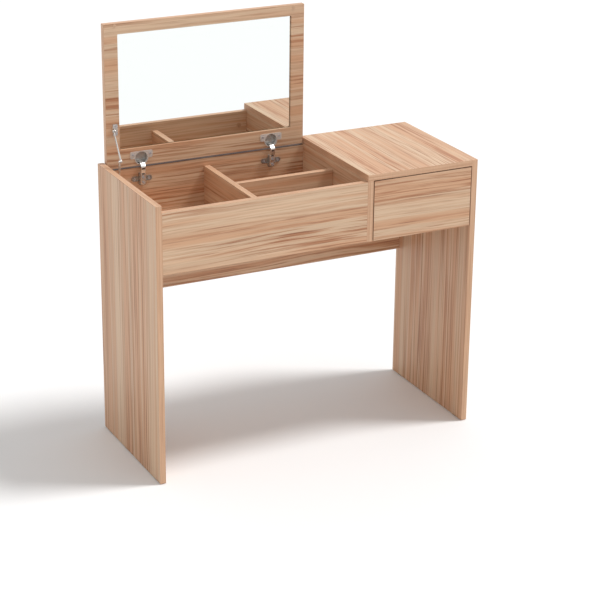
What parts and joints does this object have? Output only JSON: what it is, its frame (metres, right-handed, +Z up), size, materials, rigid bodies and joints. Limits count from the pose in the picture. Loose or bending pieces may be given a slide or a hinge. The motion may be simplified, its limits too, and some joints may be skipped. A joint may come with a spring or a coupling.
{
  "type": "vanity table with flip-up mirror",
  "caption": "Vanity table with a flip-up lid holding a mirror over three compartments, and a drawer beside it under a fixed top.",
  "frame": {"origin": "on the floor under the middle of the table, open lid included", "axes": "+Z up, +X from the lid's side to the drawer's side, the front faces -Y"},
  "size_m": [0.9, 0.38, 1.1025],
  "materials": {
    "walnut_laminate": "matt wood-grain laminate on chipboard, light walnut",
    "drawer_laminate": "matt wood-grain laminate on thin board",
    "hardboard": "smooth brown hardboard",
    "beech_dowel": "plain fluted beech",
    "mirror": "silvered glass",
    "foam_tape": "white foam tape",
    "clear_rubber": "soft clear dot",
    "nickel_steel": "nickel plated pressed steel",
    "zinc": "zinc plated",
    "slide_steel": "zinc plated rolled steel",
    "glide_plastic": "brown moulded plastic"
  },
  "bodies": {
    "carcass": {"left_side_panel": "walnut_laminate", "right_side_panel": "walnut_laminate", "drawer_top": "walnut_laminate", "drawer_divider": "walnut_laminate", "front_panel": "walnut_laminate", "rear_panel": "walnut_laminate", "box_floor": "walnut_laminate", "long_tray_divider": "walnut_laminate", "cross_tray_divider": "walnut_laminate", "wood_dowels": "beech_dowel", "left_hinge_arm": "nickel_steel", "right_hinge_arm": "nickel_steel", "left_hinge_plate": "nickel_steel", "right_hinge_plate": "nickel_steel", "hinge_plate_screws": "zinc", "stay_side_rivet": "nickel_steel", "stay_side_bracket": "nickel_steel", "stay_side_screws": "zinc", "cam_locks": "zinc", "cam_bolts": "zinc", "slide_cabinet_screws": "zinc", "left_slide_outer": "slide_steel", "right_slide_outer": "slide_steel", "foot_glides": "glide_plastic"},
    "lid": {"lid_board": "walnut_laminate", "mirror_glass": "mirror", "mirror_tape": "foam_tape", "lid_bumpers": "clear_rubber", "left_hinge_cup": "nickel_steel", "right_hinge_cup": "nickel_steel", "hinge_pins": "nickel_steel", "hinge_cup_screws": "zinc", "stay_lid_bracket": "nickel_steel", "stay_lid_screws": "zinc", "stay_lid_rivet": "nickel_steel"},
    "stay_lower": {"stay_lower_arm": "nickel_steel"},
    "stay_upper": {"stay_upper_arm": "nickel_steel", "stay_elbow_rivet": "nickel_steel"},
    "drawer": {"drawer_front": "walnut_laminate", "drawer_left_side": "drawer_laminate", "drawer_right_side": "drawer_laminate", "drawer_back": "drawer_laminate", "drawer_bottom": "hardboard", "drawer_cam_locks": "zinc", "drawer_cam_bolts": "zinc", "drawer_back_screws": "zinc", "left_slide_inner": "slide_steel", "right_slide_inner": "slide_steel", "slide_drawer_screws": "zinc"},
    "slide_middles": {"left_slide_middle": "slide_steel", "right_slide_middle": "slide_steel", "slide_balls": "zinc"}
  },
  "joints": [
    {"name": "lid_hinge", "type": "hinge", "parent": "carcass", "child": "lid", "pos_m": [0, 0.18125, 0.73325], "axis": [1, 0, 0], "range_deg": [0, 90]},
    {"name": "stay_lower_pivot", "type": "hinge", "parent": "carcass", "child": "stay_lower", "pos_m": [-0.419, 0.13525, 0.66625], "axis": [1, 0, 0], "range_deg": [0, 90]},
    {"name": "stay_upper_pivot", "type": "hinge", "parent": "lid", "child": "stay_upper", "pos_m": [-0.416, 0.161, 0.8285], "axis": [1, 0, 0], "range_deg": [-90, 0]},
    {"name": "drawer_slide", "type": "slide", "parent": "carcass", "child": "drawer", "axis": [0, -1, 0], "range_m": [0, 0.28]},
    {"name": "slide_middle_travel", "type": "slide", "parent": "carcass", "child": "slide_middles", "axis": [0, -1, 0], "range_m": [0, 0.14]}
  ],
  "couplings": [
    {"joint": "stay_lower_pivot", "follows": "lid_hinge", "ratio": 1},
    {"joint": "stay_upper_pivot", "follows": "lid_hinge", "ratio": -1},
    {"joint": "slide_middle_travel", "follows": "drawer_slide", "ratio": 0.5}
  ]
}
